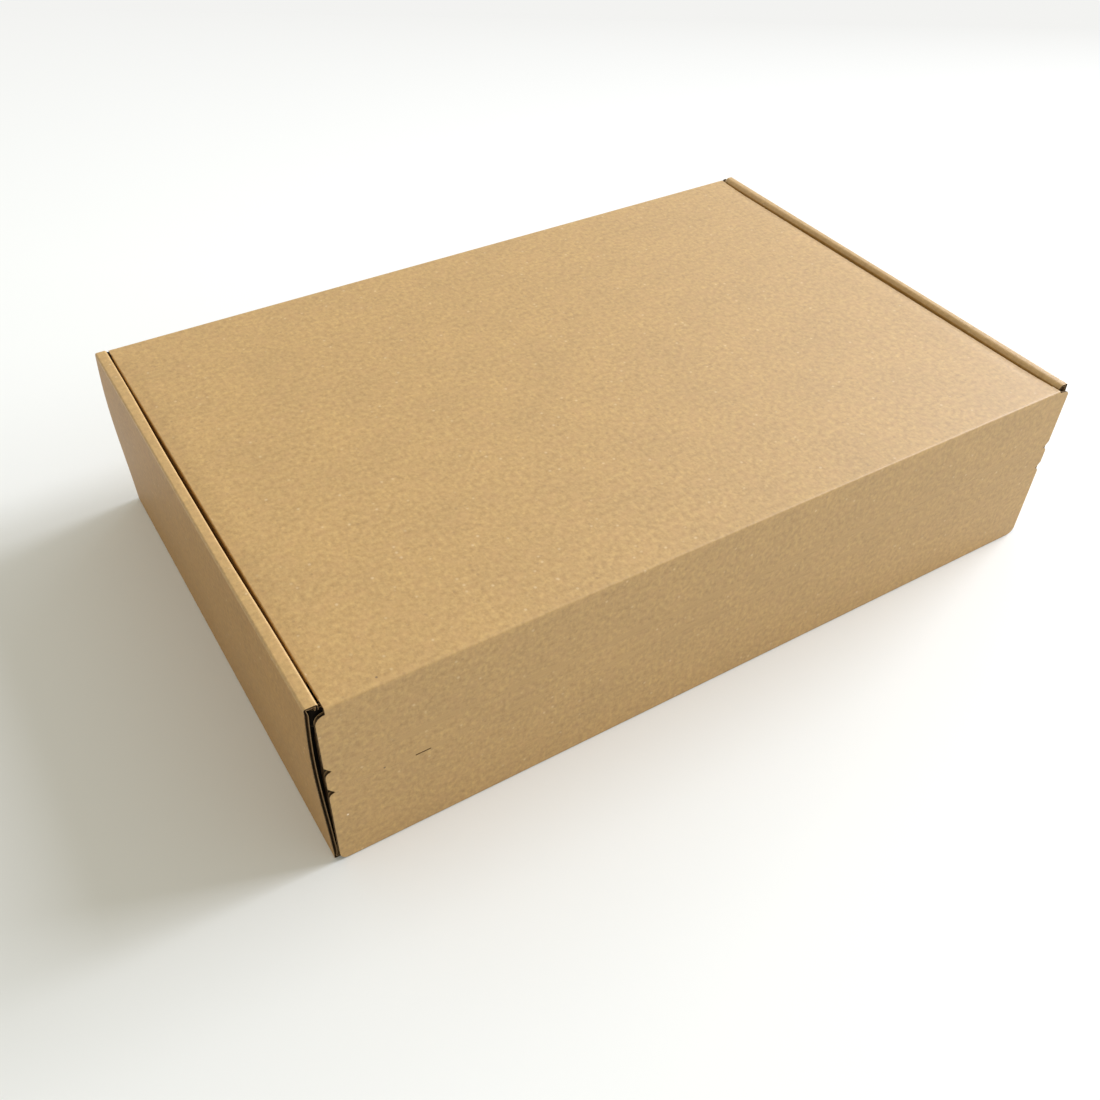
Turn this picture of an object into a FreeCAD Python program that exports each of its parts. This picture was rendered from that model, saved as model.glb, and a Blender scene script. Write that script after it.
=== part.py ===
import FreeCAD, Part

import math
import os

import Sketcher

# Closed mailer box of plain brown E-flute board, folded from one die-cut sheet and sealed.
# Frame: X along the long front face, front at -Y, Z up, origin on the floor under the centre.

os.makedirs("parts", exist_ok=True)
doc = FreeCAD.newDocument("closed_box")

# Driving dimensions, in millimetres
SIZES = [
    ("board", 1.4, "thickness of the E-flute board"),
    ("inside_length", 300, "between the two inner side panels"),
    ("inside_depth", 202.7, "between the front wall and the back wall"),
    ("inside_height", 69.4, "from the bottom panel to the underside of the lid"),
    ("layer_gap", 0.05, "air left between two layers that lie on each other"),
    ("lid_gap", 1.0, "slot between the lid and the rolled side wall"),
    ("wall_rise", 1.0, "how far the rolled side walls stand above the lid"),
    ("fold_inner", 0.3, "inner radius of a fold"),
    ("wing_drop", 35, "depth of the lid's side wings inside the box"),
    ("wing_start", 4, "from the lid's folds to the first point of a wing"),
    ("wing_taper", 14, "how far a wing's free corners are cut back"),
    ("flap_width", 306.4, "width of the front flap below its shoulders"),
    ("flap_shift", 1.0, "how far the flap sits to the right of centre"),
    ("flap_taper", 2.4, "how far the flap's right edge runs in at the bottom"),
    ("flap_lift", 0.3, "flap's lower edge above the floor"),
    ("shoulder_drop", 2.6, "from the lid's top down to the flap's shoulders"),
    ("shoulder_round", 3.1, "radius of the flap's shoulders"),
    ("flap_round", 3, "radius of the flap's lower corners"),
    ("tear_height", 34.6, "lower line of the tear strip above the floor"),
    ("tear_width", 10, "width of the tear strip"),
    ("notch_depth", 2.2, "how deep the tear strip's start notches are cut"),
    ("notch_rise", 2.7, "height of a notch's slanted upper edge"),
    ("notch_round", 2.1, "radius of a notch's lower edge"),
    ("slit_length", 4, "one cut of the tear strip's perforation"),
    ("slit_tie", 5, "uncut tie between two cuts"),
    ("slit_width", 0.16, "width of a cut"),
    ("corner_length", 62, "how far a corner flap reaches between the side layers"),
    ("side_setback", 1.5, "side wall's back end in front of the back face"),
    ("side_bulge", 0.9, "how far the outer side panel bows out between its folds"),
    ("panel_gap", 0.6, "inner panel's ends to the front and back walls"),
    ("panel_round", 4, "radius of the inner panel's lower corners"),
    ("tab_width", 24, "width of a locking tab"),
    ("tab_spacing", 104, "between the middles of one side's two tabs"),
    ("tab_lift", 0.3, "tab's end above the floor"),
    ("slot_gap", 0.2, "free space round a tab in its slot"),
    ("seal_thickness", 0.3, "double-sided tape between the flap and the front wall"),
    ("seal_width", 12, "width of the tape"),
    ("seal_height", 9, "tape's lower edge above the floor"),
    ("seal_inset", 12, "tape's ends in from the corners of the lid"),
]

sheet = doc.addObject("Spreadsheet::Sheet", "Sizes")
for row, (alias, value, meaning) in enumerate(SIZES, start=1):
    sheet.set(f"A{row}", meaning)
    sheet.set(f"B{row}", str(value))
    sheet.setAlias(f"B{row}", alias)
doc.recompute()


def size(words):
    """Expression in which every plain word is a cell of the sheet."""
    out = []
    for word in words.replace("(", " ( ").replace(")", " ) ").split():
        out.append(f"Sizes.{word}" if word[0].isalpha() and word != "floor" else word)
    return " ".join(out)


def number(expression):
    return float(sheet.evalExpression(expression))


# Places worked out from the driving dimensions: across (X), along (Y) and up (Z)
FOLD = size("( board + fold_inner )")
INNER = size("fold_inner")

LID_HALF = size("( inside_length / 2 - lid_gap )")
PANEL_IN = size("( inside_length / 2 )")
PANEL_OUT = size("( inside_length / 2 + board )")
CORNER_IN = size("( inside_length / 2 + board + layer_gap )")
CORNER_OUT = size("( inside_length / 2 + 2 * board + layer_gap )")
SIDE_IN = size("( inside_length / 2 + 2 * board + 2 * layer_gap )")
SIDE_OUT = size("( inside_length / 2 + 3 * board + 2 * layer_gap )")
TRAY_HALF = size("( inside_length / 2 + board + layer_gap - 2 * fold_inner )")
FLAP_LEFT = size("( flap_shift - flap_width / 2 )")
FLAP_RIGHT = size("( flap_shift + flap_width / 2 )")

BACK = size("( ( inside_depth + 3 * board + seal_thickness ) / 2 )")
BACK_IN = f"({BACK} - Sizes.board)"
FRONT = f"(-{BACK})"
FLAP_IN = f"({FRONT} + Sizes.board)"
WALL_FRONT = f"({FLAP_IN} + Sizes.seal_thickness)"
WALL_FRONT_IN = f"({WALL_FRONT} + Sizes.board)"
LID_START = f"({FRONT} + Sizes.wing_start)"
LID_END = f"({BACK} - Sizes.wing_start)"
SIDE_END = f"({BACK} - Sizes.side_setback)"

LID_UNDER = size("( board + inside_height )")
LID_TOP = size("( 2 * board + inside_height )")
SIDE_TOP = size("( 2 * board + inside_height + wall_rise )")
WALL_TOP = size("( board + inside_height - layer_gap )")
LIP_END = size("( board + inside_height + 3 * layer_gap )")
PANEL_END = size("( board + layer_gap )")
WING_END = size("( board + inside_height - wing_drop )")
HINGE_END = size("( inside_height - 2 * board )")
SHOULDER = size("( 2 * board + inside_height - shoulder_drop )")


def plane_of(body, role):
    return next(item for item in body.Origin.OriginFeatures if item.Role == role)


def new_sketch(body, name, role, offset="0"):
    """Sketch on one of the body's own planes, moved along the plane's normal."""
    sketch = body.newObject("Sketcher::SketchObject", name)
    sketch.AttachmentSupport = (plane_of(body, role), [""])
    sketch.MapMode = "FlatFace"
    sketch.setExpression("AttachmentOffset.Base.z", offset)
    return sketch


def pin_point(sketch, geometry, position, across, up):
    """Ties one point of the sketch to two expressions."""
    for kind, expression in (("DistanceX", across), ("DistanceY", up)):
        rule = Sketcher.Constraint(kind, -1, 1, geometry, position, number(expression))
        index = sketch.addConstraint(rule)
        sketch.setExpression(f"Constraints[{index}]", expression)


def add_loop(sketch, corners):
    """Closed outline through corners (across, up, radius or None), with round corners as arcs."""
    spots = [FreeCAD.Vector(number(across), number(up), 0) for across, up, _ in corners]
    count = len(corners)
    starts, ends, arcs = {}, {}, {}
    for index, (_, _, radius) in enumerate(corners):
        spot = spots[index]
        back = (spots[index - 1] - spot).normalize()
        onward = (spots[(index + 1) % count] - spot).normalize()
        if radius is None:
            ends[index] = starts[index] = spot
            continue
        half_turn = back.getAngle(onward) / 2
        reach = number(radius) / math.tan(half_turn)
        middle = (back + onward).normalize() * (number(radius) / math.sin(half_turn))
        ends[index] = spot + back * reach
        starts[index] = spot + onward * reach
        crown = spot + middle - (back + onward).normalize() * number(radius)
        arcs[index] = Part.Arc(ends[index], crown, starts[index])

    lines = [sketch.addGeometry(Part.LineSegment(starts[i], ends[(i + 1) % count])) for i in range(count)]
    for index, (across, up, radius) in enumerate(corners):
        before, after = lines[index - 1], lines[index]
        if radius is None:
            sketch.addConstraint(Sketcher.Constraint("Coincident", before, 2, after, 1))
            pin_point(sketch, after, 1, across, up)
            continue
        arc = sketch.addGeometry(arcs[index])
        ends_swapped = (sketch.getPoint(arc, 1) - ends[index]).Length > 1e-6
        first, last = (2, 1) if ends_swapped else (1, 2)
        sketch.addConstraint(Sketcher.Constraint("Tangent", before, 2, arc, first))
        sketch.addConstraint(Sketcher.Constraint("Tangent", arc, last, after, 1))
        rule = sketch.addConstraint(Sketcher.Constraint("Radius", arc, number(radius)))
        sketch.setExpression(f"Constraints[{rule}]", radius)
        corner = sketch.addGeometry(Part.Point(spots[index]), True)
        sketch.addConstraint(Sketcher.Constraint("PointOnObject", corner, 1, before))
        sketch.addConstraint(Sketcher.Constraint("PointOnObject", corner, 1, after))
        pin_point(sketch, corner, 1, across, up)


def pad(body, name, sketch, length, other=None):
    """Pad along the sketch's normal, and the other way too where a second length is given."""
    feature = body.newObject("PartDesign::Pad", name)
    feature.Profile = sketch
    feature.setExpression("Length", length)
    if other is not None:
        feature.SideType = "Two sides"
        feature.setExpression("Length2", other)
    sketch.Visibility = False
    doc.recompute()
    return feature


def pocket(body, name, sketch, length=None):
    """Pocket against the sketch's normal, or through everything both ways without a length."""
    before = body.Shape.Volume
    feature = body.newObject("PartDesign::Pocket", name)
    feature.Profile = sketch
    if length is None:
        feature.Type = "ThroughAll"
        feature.SideType = "Symmetric"
    else:
        feature.setExpression("Length", length)
    sketch.Visibility = False
    doc.recompute()
    if feature.Shape.Volume >= before:
        raise ValueError(f"{name} cuts nothing")
    return feature


def front_flap(board_body):
    """Flap that covers the front, with the fold that joins it to the lid."""
    profile = new_sketch(board_body, "flap_profile", "YZ_Plane")
    add_loop(profile, [
        (FRONT, "Sizes.flap_lift", None),
        (FRONT, LID_TOP, FOLD),
        (LID_START, LID_TOP, None),
        (LID_START, LID_UNDER, None),
        (FLAP_IN, LID_UNDER, INNER),
        (FLAP_IN, "Sizes.flap_lift", None),
    ])
    pad(board_body, "flap", profile, FLAP_RIGHT, f"(-{FLAP_LEFT})")


def edge_notch(edge, inward, height):
    """One shark-fin notch where a line of the tear strip starts."""
    return [
        (edge(f"({height} + Sizes.notch_rise)"), f"({height} + Sizes.notch_rise)", None),
        (f"({edge(height)} {inward} Sizes.notch_depth)", height, None),
        (edge(height), height, "Sizes.notch_round"),
    ]


def margin_loop(sketch, side, edge):
    """What the die cuts away beside the flap: shoulder, two notches and lower corner."""
    outward, inward = ("-", "+") if side == "left" else ("+", "-")
    lid_edge = f"({outward}{LID_HALF})"
    beyond = f"({edge(SHOULDER)} {outward} 2 * Sizes.board)"
    above = f"({LID_TOP} + Sizes.board)"
    below = "(Sizes.flap_lift - Sizes.board)"
    corner_end = f"({edge('Sizes.flap_lift')} {inward} 1.5 * Sizes.flap_round)"
    add_loop(sketch, [
        (lid_edge, above, None),
        (lid_edge, SHOULDER, None),
        (edge(SHOULDER), SHOULDER, "Sizes.shoulder_round"),
        *edge_notch(edge, inward, "(Sizes.tear_height + Sizes.tear_width)"),
        *edge_notch(edge, inward, "Sizes.tear_height"),
        (edge("Sizes.flap_lift"), "Sizes.flap_lift", "Sizes.flap_round"),
        (corner_end, "Sizes.flap_lift", None),
        (corner_end, below, None),
        (beyond, below, None),
        (beyond, above, None),
    ])


def flap_outline(board_body):
    """The flap's left edge is upright, and its right edge runs in towards the floor."""

    def left_edge(_height):
        return FLAP_LEFT

    def right_edge(height):
        share = f"(({SHOULDER} - {height}) / ({SHOULDER} - Sizes.flap_lift))"
        return f"({FLAP_RIGHT} - Sizes.flap_taper * {share})"

    for side, edge in (("left", left_edge), ("right", right_edge)):
        margin = new_sketch(board_body, f"{side}_margin", "XZ_Plane")
        margin_loop(margin, side, edge)
        pocket(board_body, f"{side}_flap_edge", margin)


def tear_strip(board_body):
    """Two rows of short cuts through the flap, which start at the notches."""
    pitch = "(Sizes.slit_length + Sizes.slit_tie)"
    first = f"({FLAP_LEFT} + Sizes.notch_depth + {pitch})"
    last = f"({FLAP_RIGHT} - Sizes.flap_taper - Sizes.notch_depth)"
    cuts = new_sketch(board_body, "slit_pair", "XZ_Plane", BACK)
    for height in ("Sizes.tear_height", "(Sizes.tear_height + Sizes.tear_width)"):
        low, high = f"({height} - Sizes.slit_width / 2)", f"({height} + Sizes.slit_width / 2)"
        end = f"({first} + Sizes.slit_length)"
        add_loop(cuts, [(first, low, None), (end, low, None), (end, high, None), (first, high, None)])
    slits = pocket(board_body, "slits", cuts, "Sizes.board")
    row_of_slits = board_body.newObject("PartDesign::LinearPattern", "perforation")
    row_of_slits.Originals = [slits]
    row_of_slits.Direction = (cuts, ["H_Axis"])
    spaces = f"floor(({last} - {first}) / {pitch}) - 1"
    row_of_slits.setExpression("Occurrences", f"{spaces} + 1")
    row_of_slits.setExpression("Length", f"({spaces}) * {pitch}")
    board_body.Tip = row_of_slits
    doc.recompute()


def lid_with_wings(board_body):
    """Lid whose side wings are folded down inside the rolled side walls."""
    profile = new_sketch(board_body, "lid_profile", "XZ_Plane")
    wing_in = f"({LID_HALF} - Sizes.board)"
    add_loop(profile, [
        (LID_HALF, WING_END, None),
        (LID_HALF, LID_TOP, FOLD),
        (f"(-{LID_HALF})", LID_TOP, FOLD),
        (f"(-{LID_HALF})", WING_END, None),
        (f"(-{wing_in})", WING_END, None),
        (f"(-{wing_in})", LID_UNDER, INNER),
        (wing_in, LID_UNDER, INNER),
        (wing_in, WING_END, None),
    ])
    pad(board_body, "lid", profile, f"(-{LID_START})", LID_END)

    taper = new_sketch(board_body, "wing_corners", "YZ_Plane")
    wing_root = f"({LID_UNDER} - 2 * Sizes.board)"
    for end, step in ((LID_START, "+"), (LID_END, "-")):
        add_loop(taper, [
            (end, wing_root, None),
            (end, f"({WING_END} - Sizes.board)", None),
            (f"({end} {step} Sizes.wing_taper)", f"({WING_END} - Sizes.board)", None),
        ])
    pocket(board_body, "wing_taper", taper)


def hinge(board_body):
    """Fold between the lid and the back wall."""
    profile = new_sketch(board_body, "hinge_profile", "YZ_Plane")
    add_loop(profile, [
        (LID_END, LID_TOP, None),
        (BACK, LID_TOP, FOLD),
        (BACK, HINGE_END, None),
        (BACK_IN, HINGE_END, None),
        (BACK_IN, LID_UNDER, INNER),
        (LID_END, LID_UNDER, None),
    ])
    pad(board_body, "lid_hinge", profile, LID_HALF, LID_HALF)


def tray(board_body):
    """Bottom panel with the front and back walls folded up from it."""
    profile = new_sketch(board_body, "tray_profile", "YZ_Plane")
    add_loop(profile, [
        (BACK, WALL_TOP, None),
        (BACK, "0", FOLD),
        (WALL_FRONT, "0", FOLD),
        (WALL_FRONT, WALL_TOP, None),
        (WALL_FRONT_IN, WALL_TOP, None),
        (WALL_FRONT_IN, "Sizes.board", INNER),
        (BACK_IN, "Sizes.board", INNER),
        (BACK_IN, WALL_TOP, None),
    ])
    pad(board_body, "tray", profile, TRAY_HALF, TRAY_HALF)


def side_wall(board_body):
    """Right side wall: bowed outer panel, rolled over at the top into a short lip."""
    profile = new_sketch(board_body, "side_profile", "XZ_Plane")
    under_strip = f"({SIDE_TOP} - Sizes.board)"
    middle = f"({SIDE_TOP} / 2)"
    bow_round = f"(({middle} - 2 * {FOLD}) * {middle} / (2 * Sizes.side_bulge))"
    add_loop(profile, [
        (TRAY_HALF, "0", None),
        (SIDE_OUT, "0", FOLD),
        (f"({SIDE_OUT} + 2 * Sizes.side_bulge)", middle, bow_round),
        (SIDE_OUT, SIDE_TOP, FOLD),
        (PANEL_IN, SIDE_TOP, FOLD),
        (PANEL_IN, LIP_END, None),
        (PANEL_OUT, LIP_END, None),
        (PANEL_OUT, under_strip, INNER),
        (SIDE_IN, under_strip, INNER),
        (f"({SIDE_IN} + 2 * Sizes.side_bulge)", middle, bow_round),
        (SIDE_IN, "Sizes.board", None),
        (TRAY_HALF, "Sizes.board", None),
    ])
    return pad(board_body, "side_wall", profile, f"(-{WALL_FRONT})", SIDE_END)


def corner_flap(board_body, name, wall_out, wall_in, inward):
    """Corner flap folded from the end of the front or back wall in between the side layers."""
    profile = new_sketch(board_body, f"{name}_profile", "XY_Plane", PANEL_END)
    free_end = f"({wall_out} {inward} Sizes.corner_length)"
    add_loop(profile, [
        (TRAY_HALF, wall_out, None),
        (CORNER_OUT, wall_out, FOLD),
        (CORNER_OUT, free_end, None),
        (CORNER_IN, free_end, None),
        (CORNER_IN, wall_in, INNER),
        (TRAY_HALF, wall_in, None),
    ])
    return pad(board_body, name, profile, f"({WALL_TOP} - {PANEL_END})")


def tab_slots(board_body):
    """Two slots in the bottom panel for the tabs of the right inner panel."""
    outline = new_sketch(board_body, "slot_outline", "XY_Plane", "Sizes.board")
    inner, outer = f"({PANEL_IN} - Sizes.slot_gap)", f"({PANEL_OUT} + Sizes.slot_gap)"
    half = "(Sizes.tab_width / 2 + Sizes.slot_gap)"
    for step in ("-", "+"):
        middle = f"({step}Sizes.tab_spacing / 2)"
        start, end = f"({middle} - {half})", f"({middle} + {half})"
        add_loop(outline, [(inner, start, None), (outer, start, None), (outer, end, None), (inner, end, None)])
    return pocket(board_body, "tab_slots", outline, "Sizes.board")


def inner_panel(board_body):
    """Inner side panel that hangs from the lip and locks into the bottom with two tabs."""
    outline = new_sketch(board_body, "panel_outline", "YZ_Plane", PANEL_IN)
    start, end = f"({WALL_FRONT_IN} + Sizes.panel_gap)", f"({BACK_IN} - Sizes.panel_gap)"
    loop = [(start, LIP_END, None), (start, PANEL_END, "Sizes.panel_round")]
    for step in ("-", "+"):
        near = f"({step}Sizes.tab_spacing / 2 - Sizes.tab_width / 2)"
        far = f"({step}Sizes.tab_spacing / 2 + Sizes.tab_width / 2)"
        loop += [
            (near, PANEL_END, None),
            (near, "Sizes.tab_lift", None),
            (far, "Sizes.tab_lift", None),
            (far, PANEL_END, None),
        ]
    loop += [(end, PANEL_END, "Sizes.panel_round"), (end, LIP_END, None)]
    add_loop(outline, loop)
    return pad(board_body, "inner_panel", outline, "Sizes.board")


def both_sides(board_body, right_hand):
    """The left side wall mirrors the right one."""
    mirrored = board_body.newObject("PartDesign::Mirrored", "left_side")
    mirrored.Originals = right_hand
    mirrored.MirrorPlane = (plane_of(board_body, "YZ_Plane"), [""])
    board_body.Tip = mirrored
    doc.recompute()


def folded_board():
    """The whole blank, folded up, as the one sheet that it is."""
    body = doc.addObject("PartDesign::Body", "folded_board")
    front_flap(body)
    flap_outline(body)
    tear_strip(body)
    lid_with_wings(body)
    hinge(body)
    tray(body)
    both_sides(body, [
        side_wall(body),
        corner_flap(body, "front_corner", WALL_FRONT, WALL_FRONT_IN, "+"),
        corner_flap(body, "back_corner", BACK, BACK_IN, "-"),
        tab_slots(body),
        inner_panel(body),
    ])
    return body


def seal_tape():
    """Double-sided tape that holds the flap's lower edge to the front wall."""
    tape = doc.addObject("Part::Box", "seal_tape")
    tape.setExpression("Length", f"2 * ({LID_HALF} - Sizes.seal_inset)")
    tape.setExpression("Width", "Sizes.seal_thickness")
    tape.setExpression("Height", "Sizes.seal_width")
    tape.setExpression("Placement.Base.x", f"-({LID_HALF} - Sizes.seal_inset)")
    tape.setExpression("Placement.Base.y", FLAP_IN)
    tape.setExpression("Placement.Base.z", "Sizes.seal_height")
    return tape


nodes = [folded_board(), seal_tape()]
doc.recompute()

for item in doc.Objects:
    if "Invalid" in item.State or "Error" in item.State:
        raise ValueError(f"{item.Name} failed: {item.State}")
for node in nodes:
    shape = node.Shape
    if shape.isNull() or not shape.isValid() or len(shape.Solids) != 1:
        raise ValueError(f"{node.Label} is not one valid solid")
    shape.exportStep(f"parts/{node.Label}.step")
    box = shape.BoundBox
    print(node.Label, "volume", round(shape.Volume), "mm3, faces", len(shape.Faces),
          "size", round(box.XLength, 2), round(box.YLength, 2), round(box.ZLength, 2))
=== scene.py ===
import math

import bpy
from mathutils import Matrix, Vector


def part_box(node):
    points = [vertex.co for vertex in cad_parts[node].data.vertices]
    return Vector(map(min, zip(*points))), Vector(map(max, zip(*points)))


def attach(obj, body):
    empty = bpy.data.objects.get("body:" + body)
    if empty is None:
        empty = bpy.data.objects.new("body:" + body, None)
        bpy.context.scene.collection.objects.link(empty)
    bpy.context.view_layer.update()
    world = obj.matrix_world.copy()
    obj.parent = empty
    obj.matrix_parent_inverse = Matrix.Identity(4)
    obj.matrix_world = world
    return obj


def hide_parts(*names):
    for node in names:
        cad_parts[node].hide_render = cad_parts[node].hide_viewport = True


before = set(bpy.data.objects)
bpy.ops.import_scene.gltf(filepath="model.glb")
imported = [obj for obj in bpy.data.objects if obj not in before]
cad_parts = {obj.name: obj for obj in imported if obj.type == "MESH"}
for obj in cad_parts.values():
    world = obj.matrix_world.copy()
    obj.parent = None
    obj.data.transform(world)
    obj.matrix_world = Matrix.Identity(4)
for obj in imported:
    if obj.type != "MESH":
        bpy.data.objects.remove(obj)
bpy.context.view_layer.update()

# Closed mailer box, folded from one sheet of brown E-flute board.
# All sizes below are in millimetres; meshes are turned to metres when they are made.
MM = 0.001
node_low, node_high = (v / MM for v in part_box("folded_board"))

# Board: two liners with a fluted medium between them
BOARD = 1.4
LINER = 0.22
MEDIUM = 0.14
FLUTE_PITCH = 3.3
FLUTE_STEPS = 10
FLUTE_STEP = FLUTE_PITCH / FLUTE_STEPS
FLUTE_BAND = 8.3

# Folds: the scored board is crushed there, which makes it thin and the fold tight
FOLD = 0.7
ROLL = {-1: 0.8, 1: 2.1}  # inner edge of the rolled strip, left and right
LID_FOLD = 0.5
FOLD_STEPS = 8
CRUSH = 0.55
CRUSH_REACH = 2.4

# Box, from the frame's own extents, less what the side walls bulge
LAYER_GAP = 0.05
SIDE_BULGE = 0.985
SIDE_OUT = node_high.x - SIDE_BULGE
PANEL_IN = SIDE_OUT - 3 * BOARD - 2 * LAYER_GAP
PANEL_OUT = PANEL_IN + BOARD
CORNER_OUT = PANEL_IN + 2 * BOARD + LAYER_GAP
LID_HALF = PANEL_IN - 1.0
BOTTOM_HALF = LID_HALF
WALL_HALF = CORNER_OUT - 2 * FOLD
BACK = node_high.y
FRONT = node_low.y
WALL_FRONT = FRONT + BOARD + 0.3
WALL_FRONT_IN = WALL_FRONT + BOARD
BACK_IN = BACK - BOARD
SIDE_END = BACK - 1.5
SIDE_TOP = node_high.z
LID_TOP = SIDE_TOP - 1.0
LID_UNDER = LID_TOP - BOARD
WALL_TOP = LID_UNDER - LAYER_GAP
LIP_END = LID_UNDER + 3 * LAYER_GAP
PANEL_END = BOARD + LAYER_GAP
PANEL_FRONT = WALL_FRONT_IN + 0.6
PANEL_BACK = BACK_IN - 0.6
CORNER_LENGTH = 62.0
WING_START = FRONT + 4
WING_FINISH = BACK - 4
WING_END = LID_UNDER - 35
WING_TAPER = 14.0

# Front flap and its tear strip; one slit, counted from the left, has torn open and grown longer
FLAP_LEFT, FLAP_RIGHT = -152.2, 154.2
FLAP_TAPER = 2.4
FLAP_LIFT = 0.3
FLAP_ROUND = 3.0
SHOULDER = LID_TOP - 2.6
SHOULDER_ROUND = 3.1
TEAR_LINES = (34.6, 44.6)
NOTCH_DEPTH, NOTCH_RISE, NOTCH_ROUND = 2.2, 2.7, 2.1
SLIT_LENGTH, SLIT_PITCH, SLIT_WIDTH, SLIT_COUNT = 4.0, 9.0, 0.05, 32
TORN_SLIT, TORN_WIDTH, TORN_GROWTH = 2, 0.5, 0.035

# Locking tabs and their slots in the bottom
TAB_WIDTH, TAB_SPACING, TAB_LIFT, SLOT_GAP = 24.0, 104.0, 0.3, 0.2
SLOT_IN, SLOT_OUT = PANEL_IN - SLOT_GAP, PANEL_OUT + SLOT_GAP

# How far the real box has given way: lid edges pulled down, strip and panel bent, foot tucked in
LID_DIP, DIP_REACH, DIP_END, DIP_FADE = 0.35, 6.0, 5.0, 12.0
STRIP_BOW, BOW_FLAT, BOW_FADE = 0.6, 22.0, 60.0
FOOT_TUCK = 0.5
# The front wall's corners are drawn back, the back wall's corners stand up beside the lid
WALL_DRAW, DRAW_START, DRAW_FADE, DRAW_DEPTH = 5.0, 132.0, 16.0, 14.0
DRAW_FOOT, DRAW_TOP, DRAW_TOP_FADE, DRAW_LOST = 4.0, 56.0, 9.0, 0.85
CORNER_RISE, RISE_WIDTH, RISE_DEPTH = 1.5, 1.2, 3.0
# The left side's front edge is set in below a height, and its back edge all but near that height
NICK, NICK_LENGTH, NICK_HEIGHT, NICK_FOOT = 0.4, 7.0, 48.0, 30.0
BACK_NICK, BACK_NICK_LENGTH, BACK_NICK_REACH = 0.24, 9.0, 7.0

# Mesh steps: along a run, in the flap's round corners, across the runs, and near their ends
STEP = 6.0
ARC_STEPS = 6
LONG_COLUMNS, SIDE_COLUMNS, BOTTOM_COLUMNS, FLAP_COLUMNS = 14, 22, 12, 24
END_PLACES = (0.0, 0.8, 1.8, 3.0, 4.5, 6.5, 9.0)
FLAP_MIDDLE = (-146.0, 147.0)
FLAP_BAND = 8.0
TINY = 0.01

# Where each run starts in the sheet's own plane, so that no two share a stretch of the pattern
TRAY_SHIFT, SIDE_SHIFT, CORNER_SHIFT, WING_SHIFT, HAND_SHIFT = 400, 900, 1400, 2400, 200


def hex_colour(code):
    """sRGB hex code as linear RGBA."""
    channels = [int(code[i:i + 2], 16) / 255 for i in (1, 3, 5)]
    return [c / 12.92 if c <= 0.04045 else ((c + 0.055) / 1.055) ** 2.4 for c in channels] + [1.0]


def add_node(tree, kind, links=None, **settings):
    """Adds a node; settings are properties or input values, links are input name to output socket."""
    node = tree.nodes.new(kind)
    for name, value in settings.items():
        if hasattr(node, name):
            setattr(node, name, value)
        else:
            node.inputs[name.replace("_", " ")].default_value = value
    for name, socket in (links or {}).items():
        tree.links.new(socket, node.inputs[name])
    return node


def fill_inputs(tree, node, values):
    """Sets inputs by index, each with a value or a link from a socket."""
    for index, value in values:
        if isinstance(value, bpy.types.NodeSocket):
            tree.links.new(value, node.inputs[index])
        else:
            node.inputs[index].default_value = value


def calculate(tree, operation, *terms):
    """Math node; the terms are numbers or sockets."""
    node = add_node(tree, "ShaderNodeMath", operation=operation)
    fill_inputs(tree, node, enumerate(terms))
    return node.outputs[0]


def ease(value):
    """Smooth step from 0 to 1."""
    value = max(0.0, min(1.0, value))
    return value * value * (3 - 2 * value)


def between(low, high, count):
    """Even places from low to high."""
    return [low + (high - low) * k / count for k in range(count + 1)]


def fine_ends(low, high, count):
    """Places from low to high that lie closer together near both ends."""
    inside = between(low + END_PLACES[-1], high - END_PLACES[-1], count)[1:-1]
    return [low + d for d in END_PLACES] + inside + [high - d for d in reversed(END_PLACES)]


# Paths along the folded sheet
class Station:
    """One place on the board's outer face: point, outward normal, length walked, nearness to a fold."""

    def __init__(self, u, v, nu, nv, along, crease=0.0):
        self.u, self.v, self.nu, self.nv, self.along, self.crease = u, v, nu, nv, along, crease
        self.squeeze = 1 - (1 - CRUSH) * crease


def walk(corners, outward, step, rounds=None):
    """Stations along the outer face through the corners, each inner one a round fold."""
    spots = [Vector(c) for c in corners]
    rounds = [0.0] + (rounds or [FOLD] * (len(spots) - 2)) + [0.0]
    stations = []
    along = 0.0
    here = spots[0]
    for index in range(1, len(spots)):
        last = index == len(spots) - 1
        ahead = (spots[index] - here).normalized()
        side = Vector((-ahead.y, ahead.x)) * outward
        stop = spots[index] - ahead * rounds[index]
        length = (stop - here).length
        places = set(between(0.0, length, max(1, round(length / step))))
        for share in (0.3, 0.6, 1.0):
            if index > 1 and CRUSH_REACH * share < length / 2:
                places.add(CRUSH_REACH * share)
            if not last and CRUSH_REACH * share < length / 2:
                places.add(length - CRUSH_REACH * share)
        for place in sorted(places):
            spot = here + ahead * place
            nearest = min(place if index > 1 else math.inf, length - place if not last else math.inf)
            crease = 1 - ease(nearest / CRUSH_REACH)
            stations.append(Station(spot.x, spot.y, side.x, side.y, along + place, crease))
        along += length
        if last:
            break
        turned = (spots[index + 1] - spots[index]).normalized()
        radius = rounds[index]
        middle = stop - side * radius
        sweep = math.copysign(math.pi / 2, ahead.x * turned.y - ahead.y * turned.x)
        for k in range(1, FOLD_STEPS):
            normal = Matrix.Rotation(sweep * k / FOLD_STEPS, 2) @ side
            spot = middle + normal * radius
            walked = along + radius * math.pi / 2 * k / FOLD_STEPS
            stations.append(Station(spot.x, spot.y, normal.x, normal.y, walked, 1.0))
        along += radius * math.pi / 2
        here = spots[index] + turned * radius
    return stations


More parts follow.
